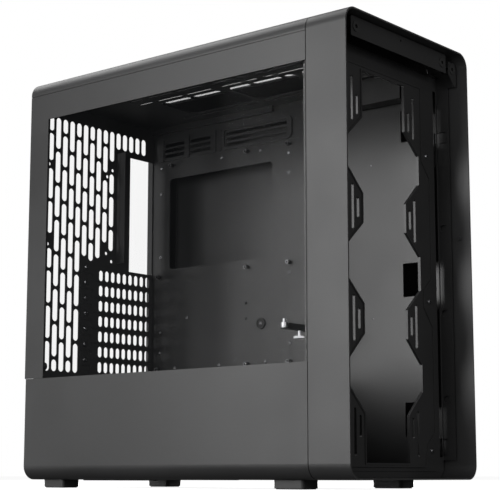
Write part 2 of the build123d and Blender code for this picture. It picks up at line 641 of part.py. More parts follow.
def grown(wire, amount):
    """The outline moved outwards, or inwards when the amount is negative."""
    return offset(Face(wire), amount, kind=Kind.INTERSECTION).face().outer_wire()


def both_sides(half):
    """A closed outline from its right half, listed from the top down."""
    return outline(*half, *[(-x, z) for x, z in reversed(half)])


# ---------------------------------------------------------------- outer panels
def side_stud(side, face_x, y, z):
    """A push-in stud on the inner face of a side panel."""
    tip = side * 114.5
    return rod("x", sorted((face_x, tip)), y, z, STUD_R)


def socket(side, y, z):
    """A plastic ring behind the chassis wall that grips a stud."""
    x = sorted((side * CHASSIS_X, side * (CHASSIS_X - 5.0)))
    return rod("x", x, y, z, 5.0, SOCKET_BORE)


def glass_panel():
    """Glass pane with a steel skin along its top and rear edges, and four studs."""
    inner_x = -HALF_W + SKIN + GLASS
    z = (GLASS_BASE + GAP, SEAM_Z - GAP)
    y = (SEAM_Y + SEAM_GAP, REAR)
    save("glass_pane", box((-HALF_W + SKIN, inner_x), y, z))
    corner = outline((y[0], z[1]), (y[0], WINDOW_TOP), (WINDOW_REAR, WINDOW_TOP), (WINDOW_REAR, z[0]),
                     (y[1], z[0]), (y[1], z[1]))
    save("glass_panel_frame", plate("x", (-HALF_W, -HALF_W + SKIN), corner))
    studs = []
    for stud_y in (STUD_FRONT_Y, STUD_REAR_Y):
        for stud_z in GLASS_STUD_Z:
            studs.append(side_stud(-1, inner_x, stud_y, stud_z))
    save("glass_panel_studs", *studs)


def lower_side_panel():
    """Steel skin below the glass, rolled under the body."""
    y = (SEAM_Y + SEAM_GAP, REAR - 2.0)
    ring = body_ring(y, SKIN)
    keep = box((-HALF_W - 1, -HALF_W + CORNER_R), (y[0] - 1, y[1] + 1), (BASE - 1, GLASS_BASE))
    save("lower_side_panel", ring & keep)
    face = -HALF_W + SKIN
    studs = [side_stud(-1, face, stud_y, LOWER_STUD_Z) for stud_y in (STUD_FRONT_Y, STUD_REAR_Y)]
    save("lower_panel_studs", *studs)


def right_side_panel():
    """Full-height steel skin on the cable side, rolled under the body."""
    y = (SEAM_Y + SEAM_GAP, REAR)
    ring = body_ring(y, SKIN)
    keep = box((HALF_W - CORNER_R, HALF_W + 1), (y[0] - 1, y[1] + 1), (BASE - 1, SEAM_Z - GAP))
    save("right_side_panel", ring & keep)
    face = HALF_W - SKIN
    studs = []
    for stud_y in (STUD_FRONT_Y, STUD_REAR_Y):
        for stud_z in PANEL_STUD_Z:
            studs.append(side_stud(1, face, stud_y, stud_z))
    save("right_panel_studs", *studs)


def panel_sockets():
    """Stud sockets on the chassis, two beside every edge of a side panel."""
    places = [(-1, y, z) for y in (STUD_FRONT_Y, STUD_REAR_Y) for z in GLASS_STUD_Z + (LOWER_STUD_Z,)]
    places += [(1, y, z) for y in (STUD_FRONT_Y, STUD_REAR_Y) for z in PANEL_STUD_Z]
    save("panel_sockets", *[socket(side, y, z) for side, y, z in places])


MESH_X = (-96.0, 58.0)
MESH_Y = (-180.0, 232.0)
MESH_COLUMNS = 12
MESH_ROWS = 8


def top_cover():
    """Top shell with rolled edges, a perforated insert, a dust filter and four studs."""
    y = (SEAM_Y + SEAM_GAP, REAR)
    ring = body_ring(y, SHELL)
    keep = box((-HALF_W - 1, HALF_W + 1), (y[0] - 1, y[1] + 1), (SEAM_Z + GAP, HEIGHT + 1))
    skirt = box((-HALF_W + 12, HALF_W - 12), (REAR - SHELL, REAR), (SEAM_Z + GAP, HEIGHT - SHELL))
    opening = box(MESH_X, MESH_Y, (HEIGHT - SHELL - 1, HEIGHT + 1))
    port_hole = box((BEZEL_X[0] - GAP, BEZEL_X[1] + GAP), (BEZEL_Y[0] - GAP, BEZEL_Y[1] + GAP),
                    (HEIGHT - SHELL - 1, HEIGHT + 1))
    save("top_cover", joined([ring & keep, skirt]).cut(opening, port_hole))

    pitch_x = length(MESH_X) / MESH_COLUMNS
    pitch_y = length(MESH_Y) / MESH_ROWS
    holes = []
    for column in range(MESH_COLUMNS):
        x = MESH_X[0] + pitch_x * (column + 0.5)
        for row in range(MESH_ROWS):
            low = MESH_Y[0] + pitch_y * row
            holes.append(upright_slot(x, (low + 3.0, low + pitch_y - 3.0), 8.8))
    insert_z = (HEIGHT - SHELL, HEIGHT - SHELL + 1.2)
    save("top_mesh", plate("z", insert_z, rect(MESH_X, MESH_Y), holes))

    frame_x = (MESH_X[0] - 4, MESH_X[1] + 4)
    frame_y = (MESH_Y[0] - 4, MESH_Y[1] + 4)
    filter_z = (HEIGHT - SHELL - 1.2, HEIGHT - SHELL)
    save("top_filter", plate("z", filter_z, rect(frame_x, frame_y, 3.0), [rect(MESH_X, MESH_Y, 2.0)]))
    studs = []
    for x, stud_y in COVER_STUDS:
        post = rod("z", (ROOF_Z + STEEL, HEIGHT - SHELL), x, stud_y, 3.3)
        pin = rod("z", (ROOF_Z - 5.0, ROOF_Z + STEEL), x, stud_y, 2.0)
        studs.append(joined([post, pin]))
    save("top_cover_studs", *studs)


GUIDE_STUD = (-235.4, 294.0)


def front_surround():
    """Rounded sleeve round the front, open at both ends, with its clips and two guide studs."""
    save("front_surround", body_ring((FRONT, SEAM_Y), SHELL))
    clips = []
    for side in (-1, 1):
        x = sorted((side * (CHASSIS_X + STEEL + 0.5), side * (HALF_W - SHELL)))
        for z in (80.0, 250.0, 420.0):
            clips.append(box(x, (-222.0, -212.0), (z - 6, z + 6)))
        stud_x = sorted((side * (HALF_W - SHELL - 2.0), side * (HALF_W - SHELL)))
        clips.append(rod("x", stud_x, *GUIDE_STUD, 2.8))
    save("surround_clips", *clips)


# ---------------------------------------------------------------- front connector panel
PANEL_IO_X = (66.0, 86.0)
PANEL_IO_Y = (-192.0, -93.0)
PANEL_IO_Z = (463.0, HEIGHT - SHELL)
BEZEL_X = (68.0, 84.0)
BEZEL_Y = (-190.0, -95.0)
BEZEL_Z = (HEIGHT - SHELL, HEIGHT - 0.3)
BOARD_Z = (499.0, 500.6)
PORT_X = 76.0
POWER_Y = -180.0
RESET_Y = -102.0
USB_C_Y = -163.0
USB_A_Y = (-146.0, -128.5)
AUDIO_Y = -114.0
POWER_R = 5.5
RESET_R = 2.4
SPRING_Z = (503.0, 508.0)


def port_outlines():
    """Openings in the bezel: two buttons, one small port, two large ones and a jack."""
    outlines = [disc(PORT_X, POWER_Y, POWER_R + GAP), disc(PORT_X, RESET_Y, RESET_R + GAP)]
    outlines.append(upright_slot(PORT_X, (USB_C_Y - 4.7, USB_C_Y + 4.7), 3.6))
    outlines += [rect((PORT_X - 2.95, PORT_X + 2.95), (y - 6.7, y + 6.7)) for y in USB_A_Y]
    outlines.append(disc(PORT_X, AUDIO_Y, 3.2))
    return outlines


def io_module():
    """Connector housing under the top cover: bezel, circuit board, ports."""
    outer = box(PANEL_IO_X, PANEL_IO_Y, PANEL_IO_Z)
    inner = box((PANEL_IO_X[0] + 1.5, PANEL_IO_X[1] - 1.5), (PANEL_IO_Y[0] + 1.5, PANEL_IO_Y[1] - 1.5),
                (PANEL_IO_Z[0] + 1.5, PANEL_IO_Z[1] + 1))
    save("io_housing", outer - inner)
    save("io_bezel", plate("z", BEZEL_Z, rect(BEZEL_X, BEZEL_Y, 3.0), port_outlines()))

    board = box((PANEL_IO_X[0] + 2, PANEL_IO_X[1] - 2), (PANEL_IO_Y[0] + 2, PANEL_IO_Y[1] - 2), BOARD_Z)
    switches = [box((PORT_X - 3, PORT_X + 3), (y - 3, y + 3), (BOARD_Z[1], SPRING_Z[0]))
                for y in (POWER_Y, RESET_Y)]
    save("io_circuit_board", joined([board] + switches))

    port_z = (BOARD_Z[1], HEIGHT - 0.5)
    shells = []
    for y in USB_A_Y:
        outline_out = rect((PORT_X - 2.85, PORT_X + 2.85), (y - 6.55, y + 6.55))
        outline_in = rect((PORT_X - 2.45, PORT_X + 2.45), (y - 6.15, y + 6.15))
        tongue = box((PORT_X - 2.45, PORT_X - 0.6), (y - 5.4, y + 5.4), (BOARD_Z[1], HEIGHT - 2.5))
        shells.append(joined([plate("z", port_z, outline_out, [outline_in]), tongue]))
    shell = plate("z", port_z, upright_slot(PORT_X, (USB_C_Y - 4.5, USB_C_Y + 4.5), 3.2),
                  [upright_slot(PORT_X, (USB_C_Y - 4.2, USB_C_Y + 4.2), 2.6)])
    tongue = box((PORT_X - 0.35, PORT_X + 0.35), (USB_C_Y - 3.3, USB_C_Y + 3.3), (BOARD_Z[1], HEIGHT - 1.5))
    base = box((PORT_X - 1.2, PORT_X + 1.2), (USB_C_Y - 3.8, USB_C_Y + 3.8), (BOARD_Z[1], BOARD_Z[1] + 2))
    save("usb_ports", *shells, joined([shell, tongue, base]))
    save("audio_jack", rod("z", port_z, PORT_X, AUDIO_Y, 3.0, 1.8))


def buttons():
    """Two sprung push buttons that press straight down."""
    for name, y, radius in (("power_button", POWER_Y, POWER_R), ("reset_button", RESET_Y, RESET_R)):
        cap = rod("z", (511.0, HEIGHT), PORT_X, y, radius)
        if radius > 4:
            dish = Pos(PORT_X, y, HEIGHT + 24.4) * Sphere(25.0)
            cap = cap - dish
        stem = rod("z", (SPRING_Z[1], 511.0), PORT_X, y, 2.2)
        save(name, joined([cap, stem]))
        save(name.replace("button", "spring"), rod("z", SPRING_Z, PORT_X, y, 2.2, 1.5))


# ---------------------------------------------------------------- graphics card support
RAIL_Y = (-69.5, -54.5)
RAIL_Z = (142.0, 305.0)
RAIL_X = 86.2
HINGE = (74.0, -62.0)
EYE_R = 7.0
PIN_R = 3.0
ARM_TIP_X = 0.8
ARM_Z = (188.3, 195.5)
ARM_HALF = 4.2
THUMB_X = 35.0
THUMB_Z = (178.6, 181.4)     # knurled wheel
THUMB_R = 7.2
STUD_X = 4.8
STUD_SEAT = 1.2              # thickness of the arm under the stud
STUD_R_ARM = 3.5
THREAD_R = 1.8


def card_support():
    """Rail on the tray, a carriage on it, and a swinging arm with a thumbscrew and a stud."""
    flange = box((TRAY_X - 1.2, TRAY_X), RAIL_Y, RAIL_Z)
    web = box((RAIL_X, TRAY_X - 1.2), (RAIL_Y[0] + 4, RAIL_Y[1] - 4), RAIL_Z)
    face = box((RAIL_X, RAIL_X + 1.2), RAIL_Y, RAIL_Z)
    save("support_rail", joined([flange, web, face]))

    low = ARM_Z[0] - 5.0
    high = ARM_Z[1] + 5.0
    block = box((81.5, RAIL_X - GAP), (RAIL_Y[0] - 2.0, RAIL_Y[1] + 2.0), (low, high))
    cheeks = [box((81.5, 90.0), y, (low, high)) for y in
              ((RAIL_Y[0] - 2.0, RAIL_Y[0] - GAP), (RAIL_Y[1] + GAP, RAIL_Y[1] + 2.0))]
    ears = []
    for z in ((low, ARM_Z[0] - GAP), (ARM_Z[1] + GAP, high)):
        eye = rod("z", z, HINGE[0], HINGE[1], EYE_R)
        ears.append(joined([eye, box((HINGE[0], 81.5), (HINGE[1] - EYE_R, HINGE[1] + EYE_R), z)]))
    pin = rod("z", (low, high), HINGE[0], HINGE[1], PIN_R)
    save("support_carriage", joined([block, pin] + cheeks + ears))

    bar = plate("z", ARM_Z, rect((ARM_TIP_X, HINGE[0]), (HINGE[1] - ARM_HALF, HINGE[1] + ARM_HALF)))
    eye = rod("z", ARM_Z, HINGE[0], HINGE[1], EYE_R)
    bores = [rod("z", (ARM_Z[0] - 1, ARM_Z[1] + 1), x, HINGE[1], radius)
             for x, radius in ((HINGE[0], PIN_R + 0.05), (THUMB_X, THREAD_R + 0.05))]
    seat_z = ARM_Z[0] + STUD_SEAT
    step = box((ARM_TIP_X - 1, STUD_X + STUD_R_ARM + 0.5), (HINGE[1] - EYE_R, HINGE[1] + EYE_R),
               (seat_z, ARM_Z[1] + 1))
    save("support_arm", joined([bar, eye]).cut(*bores, step))
    foot = rod("z", (seat_z, ARM_Z[1] + 0.4), STUD_X, HINGE[1], STUD_R_ARM)
    tip = rod("z", (ARM_Z[1] + 0.4, ARM_Z[1] + 5.0), STUD_X, HINGE[1], 1.4)
    save("support_stud", joined([foot, tip]))
    wheel = rod("z", THUMB_Z, THUMB_X, HINGE[1], THUMB_R)
    collar = rod("z", (THUMB_Z[1], ARM_Z[0] - GAP), THUMB_X, HINGE[1], 3.2)
    stem = rod("z", (ARM_Z[0] - GAP, ARM_Z[1] - 1.0), THUMB_X, HINGE[1], THREAD_R)
    save("support_thumbscrew", joined([wheel, collar, stem]))


os.makedirs("parts", exist_ok=True)
feet()
floor_plate()
floor_filter()
rear_wall()
slot_covers()
motherboard_tray()
tray_vents()
psu_shroud()
drive_bay()
roof_frame()
front_frame()
front_posts()
front_top_bar()
fan_bracket()
glass_panel()
lower_side_panel()
right_side_panel()
panel_sockets()
top_cover()
front_surround()
io_module()
buttons()
card_support()
print(len(os.listdir("parts")), "nodes")
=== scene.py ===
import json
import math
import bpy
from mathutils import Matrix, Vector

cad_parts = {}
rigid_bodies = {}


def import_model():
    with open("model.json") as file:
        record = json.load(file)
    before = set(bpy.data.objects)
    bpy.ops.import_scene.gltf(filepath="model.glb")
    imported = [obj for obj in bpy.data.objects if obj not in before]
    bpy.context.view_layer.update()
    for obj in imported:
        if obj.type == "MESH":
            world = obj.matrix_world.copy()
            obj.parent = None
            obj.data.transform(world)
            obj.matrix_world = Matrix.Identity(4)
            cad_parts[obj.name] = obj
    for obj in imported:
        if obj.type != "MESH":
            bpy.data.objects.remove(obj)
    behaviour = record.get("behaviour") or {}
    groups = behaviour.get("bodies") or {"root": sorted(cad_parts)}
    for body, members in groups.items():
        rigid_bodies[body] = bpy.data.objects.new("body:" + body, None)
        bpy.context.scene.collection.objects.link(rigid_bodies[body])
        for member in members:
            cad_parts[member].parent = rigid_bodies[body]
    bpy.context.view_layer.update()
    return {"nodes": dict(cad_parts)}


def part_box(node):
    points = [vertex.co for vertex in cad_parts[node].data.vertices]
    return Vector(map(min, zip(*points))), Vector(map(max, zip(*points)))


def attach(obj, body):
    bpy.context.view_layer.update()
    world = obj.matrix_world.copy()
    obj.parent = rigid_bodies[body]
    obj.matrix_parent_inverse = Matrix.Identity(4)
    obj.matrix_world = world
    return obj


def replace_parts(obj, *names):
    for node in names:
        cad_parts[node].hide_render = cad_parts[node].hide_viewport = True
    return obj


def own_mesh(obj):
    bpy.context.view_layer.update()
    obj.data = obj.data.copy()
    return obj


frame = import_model()

# %% [markdown]
# # An empty computer case
# The steel, glass and plastic of this case come from a CAD model: folded sheets, a glass door
# panel, a sleeve round the front, drive trays, buttons. Their shapes are already right, so this
# lesson leaves those meshes alone and does three other things. It gives every surface a finish
# worked out from maths, it adds the small repeated things that are too fine for the CAD model
# (screw heads, dust nets, a knurled wheel, coil springs), and it sets up a camera and soft light.
# All lengths are in metres and every object keeps its place in its own mesh.

nodes = frame["nodes"]
MM = 0.001

# %% [markdown]
# ## Writing shader maths as ordinary sums
# A procedural material is a graph of nodes. Wiring dozens of them by hand is hard to read, so a
# small class wraps one socket: `a * b` on two wrapped sockets adds a Math node for the product.
# One more method, `node`, adds any other kind of node. Colours go through a Mix node instead,
# because a Math node would turn a colour grey.


# %% A wrapper for sockets and one for the material being built
class Value:
    """One output socket, with the sums that the finishes need."""

    def __init__(self, finish, socket):
        self.finish = finish
        self.socket = socket

    def _math(self, operation, left, right):
        made = self.finish.node("ShaderNodeMath", {"operation": operation}, {0: left, 1: right})
        return made("Value")

    def __add__(self, other):
        return self._math("ADD", self, other)

    def __radd__(self, other):
        return self._math("ADD", other, self)

    def __sub__(self, other):
        return self._math("SUBTRACT", self, other)

    def __rsub__(self, other):
        return self._math("SUBTRACT", other, self)

    def __mul__(self, other):
        return self._math("MULTIPLY", self, other)

    def __rmul__(self, other):
        return self._math("MULTIPLY", other, self)

    def clamp(self, low, high):
        return self._math("MINIMUM", self._math("MAXIMUM", self, low), high)


class Finish:
    """A material under construction: its node tree and its main shader."""

    def __init__(self, name):
        self.material = bpy.data.materials.new(name)
        self.material.use_nodes = True
        self.tree = self.material.node_tree
        self.tree.nodes.clear()
        self.out = self.tree.nodes.new("ShaderNodeOutputMaterial")
        self.shader = self.tree.nodes.new("ShaderNodeBsdfPrincipled")
        self.tree.links.new(self.shader.outputs["BSDF"], self.out.inputs["Surface"])
        self.place = self.node("ShaderNodeTexCoord")("Object")

    def node(self, kind, settings=None, inputs=None):
        """Adds a node: settings first, then values or links for its sockets."""
        made = self.tree.nodes.new(kind)
        for key, value in (settings or {}).items():
            if key == "stops":
                elements = made.color_ramp.elements
                while len(elements) < len(value):
                    elements.new(0.5)
                for element, (place, colour) in zip(elements, value):
                    element.position = place
                    element.color = (*colour, 1.0)
            else:
                setattr(made, key, value)
        for key, value in (inputs or {}).items():
            self.feed(made.inputs[key], value)
        return lambda output: Value(self, made.outputs[output])

    def feed(self, socket, value):
        """Sets a socket to a number, or links it to a wrapped output."""
        if isinstance(value, Value):
            self.tree.links.new(value.socket, socket)
        elif isinstance(value, (tuple, list)) and len(value) == 3 and socket.type == "RGBA":
            socket.default_value = (*value, 1.0)
        else:
            socket.default_value = value

    def set(self, **values):
        for key, value in values.items():
            self.feed(self.shader.inputs[key.replace("_", " ")], value)

    def noise(self, per_metre, detail=2.0, roughness=0.5, stretch=(1.0, 1.0, 1.0)):
        """Soft noise from 0 to 1, with a given number of blobs to the metre."""
        scaled = self.node("ShaderNodeMapping", {}, {"Vector": self.place, "Scale": stretch})("Vector")
        inputs = {"Vector": scaled, "Scale": per_metre, "Detail": detail, "Roughness": roughness}
        return self.node("ShaderNodeTexNoise", {}, inputs)("Fac")

    def cells(self, per_metre, feature="F1"):
        """Distance to the nearest of many scattered points."""
        inputs = {"Vector": self.place, "Scale": per_metre}
        return self.node("ShaderNodeTexVoronoi", {"feature": feature}, inputs)("Distance")

    def mix(self, factor, first, second):
        """One colour where the factor is 0 and another where it is 1."""
        inputs = {0: factor, 6: first, 7: second}
        made = self.node("ShaderNodeMix", {"data_type": "RGBA"}, inputs)
        return made(2)

    def ramp(self, factor, *stops):
        return self.node("ShaderNodeValToRGB", {"stops": stops}, {"Fac": factor})("Color")

    def bump(self, height, strength, distance):
        inputs = {"Height": height, "Strength": strength, "Distance": distance}
        self.feed(self.shader.inputs["Normal"], self.node("ShaderNodeBump", {}, inputs)("Normal"))


print("helpers ready")

# %% [markdown]
# ## Powder-coated steel
# The outer skins are steel with a baked powder coat: a dark neutral grey that looks smooth from
# afar and finely pebbled close up, like orange peel with a grain of about half a millimetre.
# A single grey would look like plastic. Three layers make it: a pebble pattern from scattered
# cells that only drives the bump, a slow cloud of noise that shifts the shade and the gloss by a
# few percent, and fine specks where the powder is thicker.


# %% A function for every shade of powder coat
PEBBLE_MM = 0.5
PEBBLE_DEPTH = 0.05 * MM


def powder_coat(name, shade, spread, gloss, grain=0.5):
    coat = Finish(name)
    cloud = coat.noise(9.0, 3.0)
    speck = coat.noise(1100.0, 2.0, 0.6, (1.0, 0.12, 1.0))
    pebbles = coat.cells(1000.0 / PEBBLE_MM, "SMOOTH_F1")
    fine = coat.noise(2600.0, 2.0)
    mixed = (0.65 * cloud + 0.35 * speck).clamp(0.0, 1.0)
    dark = [shade * (1 - spread)] * 3
    light = [shade * (1 + spread), shade * (1 + spread), shade * (1.03 + spread)]
    coat.set(Base_Color=coat.ramp(mixed, (0.30, dark), (0.70, light)))
    coat.set(Roughness=(gloss + 0.16 * (cloud - 0.5) + 0.10 * (speck - 0.5)).clamp(0.2, 0.9))
    coat.set(Specular_IOR_Level=0.5)
    coat.bump(0.7 * pebbles + 0.3 * fine, grain, PEBBLE_DEPTH)
    return coat.material


outer_coat = powder_coat("powder coat, outer", 0.032, 0.14, 0.42, 0.12)
# The inside steel wears the same powder coat as the skins. Its lower shade here is painted shade for
# the dim inside of the case.
inner_coat_painted_shade = powder_coat("powder coat, inner, painted shade", 0.024, 0.16, 0.36, 0.10)
black_coat = powder_coat("black paint", 0.010, 0.25, 0.40, 0.12)
print("three paints")

# %% [markdown]
# ## Moulded plastic and rubber
# The studs, clips, trays and connector housing are black moulded plastic. A mould leaves a fine
# spark-eroded grain, much finer and shallower than the powder coat, with an even dull sheen.
# Rubber is duller still, and picks up a pale bloom of dust.


# %% Plastic and rubber
def moulded(name, shade, gloss, grain, bloom):
    skin = Finish(name)
    grit = skin.noise(3200.0, 3.0, 0.7)
    slow = skin.noise(35.0, 2.0)
    dusty = (bloom * (slow + 0.5 * grit - 0.5)).clamp(0.0, 1.0)
    skin.set(Base_Color=skin.ramp(dusty, (0.0, [shade] * 3), (1.0, [shade + 0.05] * 3)))
    skin.set(Roughness=(gloss + 0.12 * (slow - 0.5)).clamp(0.2, 0.95))
    skin.bump(grit, grain, 0.0001)
    return skin.material


plastic = moulded("moulded black plastic", 0.022, 0.48, 0.35, 0.25)
button_plastic = moulded("satin button plastic", 0.030, 0.34, 0.15, 0.15)
rubber = moulded("foot rubber", 0.016, 0.78, 0.5, 0.9)
print("plastics ready")

# %% [markdown]
# ## Bare metal
# Screws and stand-offs are zinc-plated steel. Turning and stamping leave fine scratches that
# stretch the highlight, so the noise behind the roughness is squeezed along one axis. A ramp
# keeps the plating from being one flat grey.


# %% Zinc, nickel and spring wire
def plated(name, tone, gloss, stretch):
    metal = Finish(name)
    brushed = metal.noise(900.0, 3.0, 0.6, stretch)
    tarnish = metal.noise(260.0, 2.0)
    dark = [c * 0.72 for c in tone]
    metal.set(Base_Color=metal.ramp(tarnish, (0.25, dark), (0.7, list(tone))))
    metal.set(Metallic=1.0, Roughness=(gloss + 0.25 * (brushed - 0.5)).clamp(0.12, 0.8))
    metal.bump(brushed, 0.2, 0.00005)
    return metal.material


zinc = plated("zinc plating", (0.66, 0.66, 0.68), 0.34, (1.0, 1.0, 6.0))
black_screw = plated("blackened steel", (0.28, 0.28, 0.29), 0.28, (1.0, 1.0, 1.0))
nickel = plated("nickel plating", (0.60, 0.58, 0.55), 0.26, (6.0, 1.0, 1.0))
spring_wire = plated("spring wire", (0.42, 0.42, 0.44), 0.30, (1.0, 1.0, 1.0))
print("metals ready")

# %% [markdown]
# ## Tempered glass
# The window is a clear pane with a faint grey tint. Real refraction is costly and adds noise for
# a flat sheet that bends nothing visibly, so the pane is mostly see-through with a low alpha,
# and its gloss comes from the ordinary reflection. Faint wiping marks vary both. A black border
# is printed along its front edge.

# %% Glass
BORDER_Y = -0.1941      # the strip in front of this is printed black
glass = Finish("tempered glass")
wipes = glass.noise(14.0, 4.0, 0.6, (1.0, 1.0, 0.35))
along = glass.node("ShaderNodeSeparateXYZ", {}, {"Vector": glass.place})("Y")
border = glass.node("ShaderNodeMath", {"operation": "LESS_THAN"}, {0: along, 1: BORDER_Y})("Value")
tint = glass.ramp(wipes, (0.3, [0.030, 0.032, 0.034]), (0.7, [0.045, 0.047, 0.050]))
glass.set(Base_Color=glass.mix(border, tint, (0.004, 0.004, 0.004)))
glass.set(Specular_IOR_Level=0.08)
glass.set(Alpha=(0.03 + 0.03 * wipes + border).clamp(0.02, 1.0))
glass.set(Roughness=(0.03 + 0.05 * wipes).clamp(0.02, 0.1))
print("glass ready")

# %% [markdown]
# ## Nylon net and circuit board
# The dust nets are woven black nylon, made later as real threads; this is the thread's finish.
# The circuit board under the ports is dark green solder mask with a hint of its copper tracks.

# %% Net and board
thread = moulded("nylon thread", 0.035, 0.42, 0.2, 0.3)
board = Finish("solder mask")
bricks = board.node("ShaderNodeTexBrick", {"offset": 0.5}, {"Vector": board.place, "Scale": 190.0})
tracks = bricks("Fac")
board.set(Base_Color=board.ramp(tracks, (0.0, [0.010, 0.045, 0.020]), (1.0, [0.030, 0.090, 0.040])))
board.set(Roughness=(0.30 + 0.15 * tracks).clamp(0.1, 0.6))
print("net and board ready")

# %% [markdown]
# ## Giving every CAD part its finish
# A finish is given by replacing the material in the part's slot. The mesh itself isn't touched.

# %% Assign the finishes
finishes = {
    outer_coat: ["glass_panel_frame", "lower_side_panel", "right_side_panel", "top_cover",
                 "front_surround", "top_mesh"],
    inner_coat_painted_shade: ["floor_plate", "rear_vent_panel", "rear_fan_panel", "rear_io_panel",
                 "expansion_slot_frame", "psu_mount_panel", "slot_covers", "motherboard_tray",
                 "tray_cable_strip",
                 "tray_vent_rear", "tray_vent_front", "psu_shroud", "drive_cage", "roof_frame",
                 "front_frame", "front_post_left", "front_post_right", "front_top_bar",
                 "fan_bracket", "support_rail"],
    black_coat: ["support_arm", "support_carriage"],
    plastic: ["foot_housings", "filter_rails", "snap_sockets", "panel_sockets", "io_housing",
              "io_bezel", "glass_panel_studs", "lower_panel_studs", "right_panel_studs",
              "top_cover_studs", "surround_clips", "floor_filter_frame", "drive_tray_lower",
              "drive_tray_upper", "audio_jack", "top_filter"],
    button_plastic: ["power_button", "reset_button"],
    rubber: ["foot_pads", "ssd_grommet"],
    zinc: ["support_stud", "support_thumbscrew"],
    black_screw: ["tray_screws", "slot_cover_screws", "fan_bracket_screws",
                  "motherboard_standoffs"],
    nickel: ["usb_ports"],
    spring_wire: ["power_spring", "reset_spring"],
    thread: ["floor_filter_mesh"],
    board.material: ["io_circuit_board"],
    glass.material: ["glass_pane"],
}
for finish, names in finishes.items():
    for name in names:
        mesh = nodes[name].data
        mesh.materials.clear()
        mesh.materials.append(finish)
left_over = set(nodes) - {name for names in finishes.values() for name in names}
print(len(nodes), "parts finished, left over:", sorted(left_over))

# %% [markdown]
# ## Small repeated things, by rule
# Dust nets, pan-head screws, a knurled wheel and coil springs all repeat one simple shape, so
# each is a Geometry Nodes tree with its sizes as named inputs. The tree ends in Realize Instances
# and Set Material. Its result is then copied out as a plain mesh, because an exported model keeps
# no instances, and the modifier is thrown away.


# %% Helpers: a node tree with named inputs, and its result as a plain mesh
class Rule:
    """A Geometry Nodes tree under construction."""

    def __init__(self, name, **sizes):
        self.tree = bpy.data.node_groups.new(name, "GeometryNodeTree")
        face = self.tree.interface
        face.new_socket("Geometry", in_out="INPUT", socket_type="NodeSocketGeometry")
        self.sizes = sizes
        self.ids = {}
        for key, value in sizes.items():
            kinds = {int: "NodeSocketInt", tuple: "NodeSocketVector"}
            kind = kinds.get(type(value), "NodeSocketFloat")
            made = face.new_socket(key, in_out="INPUT", socket_type=kind)
            self.ids[key] = made.identifier
        face.new_socket("Geometry", in_out="OUTPUT", socket_type="NodeSocketGeometry")
        self.given = self.tree.nodes.new("NodeGroupInput")
        self.out = self.tree.nodes.new("NodeGroupOutput")

    def size(self, key):
        return self.given.outputs[key]

    def add(self, kind, settings=None, **inputs):
        """Adds a node. An input is its name with _ for spaces, or i and its number."""
        made = self.tree.nodes.new(kind if kind.startswith("Shader") else "GeometryNode" + kind)
        for key, value in (settings or {}).items():
            setattr(made, key, value)
        for key, value in inputs.items():
            numbered = key[1:].isdigit()
            socket = made.inputs[int(key[1:]) if numbered else key.replace("_", " ")]
            for one in value if isinstance(value, list) else [value]:
                if isinstance(one, bpy.types.NodeSocket):
                    self.tree.links.new(one, socket)
                else:
                    socket.default_value = one
        return made.outputs[0]

    def maths(self, operation, left, right=0.0):
        return self.add("ShaderNodeMath", {"operation": operation}, i0=left, i1=right)

    def vector(self, x=0.0, y=0.0, z=0.0):
        return self.add("ShaderNodeCombineXYZ", i0=x, i1=y, i2=z)

    def make(self, shape, material, body, start=None):
        """Ends the tree, runs it and returns a plain mesh object that rides on a body."""
        real = self.add("RealizeInstances", Geometry=shape)
        coated = self.add("SetMaterial", Geometry=real, Material=material)
        self.tree.links.new(coated, self.out.inputs[0])
        base = bpy.data.objects.new(self.tree.name, start or bpy.data.meshes.new("empty"))
        bpy.context.scene.collection.objects.link(base)
        modifier = base.modifiers.new("rule", "NODES")
        modifier.node_group = self.tree
        for key, value in self.sizes.items():
            modifier[self.ids[key]] = value
        graph = bpy.context.evaluated_depsgraph_get()
        mesh = bpy.data.meshes.new_from_object(base.evaluated_get(graph))
        bpy.data.objects.remove(base)
        made = bpy.data.objects.new(self.tree.name, mesh)
        bpy.context.scene.collection.objects.link(made)
        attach(made, body)
        print(made.name, len(mesh.polygons), "faces")
        return made


# %% [markdown]
# ### Dust nets
# A net is two layers of fine threads at right angles. A thread is a long thin box, and one layer
# is that box copied along a line of points a pitch apart.


# %% The net in the top cover and the one in the floor filter
def net(name, low, high, z, pitch, gauge, body):
    rule = Rule(name, Width=high[0] - low[0], Depth=high[1] - low[1], Pitch=pitch, Thread=gauge)
    layers = []
    for across, along, step in (("Width", "Depth", (1, 0)), ("Depth", "Width", (0, 1))):
        count = rule.maths("DIVIDE", rule.size(across), rule.size("Pitch"))
        if across == "Width":
            bar = rule.vector(rule.size("Thread"), rule.size(along), rule.size("Thread"))
        else:
            bar = rule.vector(rule.size(along), rule.size("Thread"), rule.size("Thread"))
        gap = rule.vector(*[rule.maths("MULTIPLY", rule.size("Pitch"), float(s)) for s in step])
        start = rule.maths("MULTIPLY", rule.size(across), -0.5)
        corner = rule.vector(*[rule.maths("MULTIPLY", start, float(s)) for s in step])
        line = rule.add("MeshLine", Count=count, Start_Location=corner, Offset=gap)
        thread_shape = rule.add("MeshCube", Size=bar)
        layers.append(rule.add("InstanceOnPoints", Points=line, Instance=thread_shape))
    both = rule.add("JoinGeometry", Geometry=layers)
    centre = ((low[0] + high[0]) / 2, (low[1] + high[1]) / 2, z)
    placed = rule.add("Transform", Geometry=both, Translation=centre)
    return rule.make(placed, thread, body)


filter_low, filter_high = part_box("top_filter")
EDGE = 5 * MM            # the net stops this far inside its frame
NET_PITCH = 2 * MM
net("top_net", [v + EDGE for v in filter_low], [v - EDGE for v in filter_high],
    (filter_low.z + filter_high.z) / 2, NET_PITCH, 0.16 * MM, "top_cover")
floor_low, floor_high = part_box("floor_filter_mesh")
floor_net = net("floor_net", floor_low, floor_high, (floor_low.z + floor_high.z) / 2, NET_PITCH,
                0.40 * MM, "floor_filter")
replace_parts(floor_net, "floor_filter_mesh")

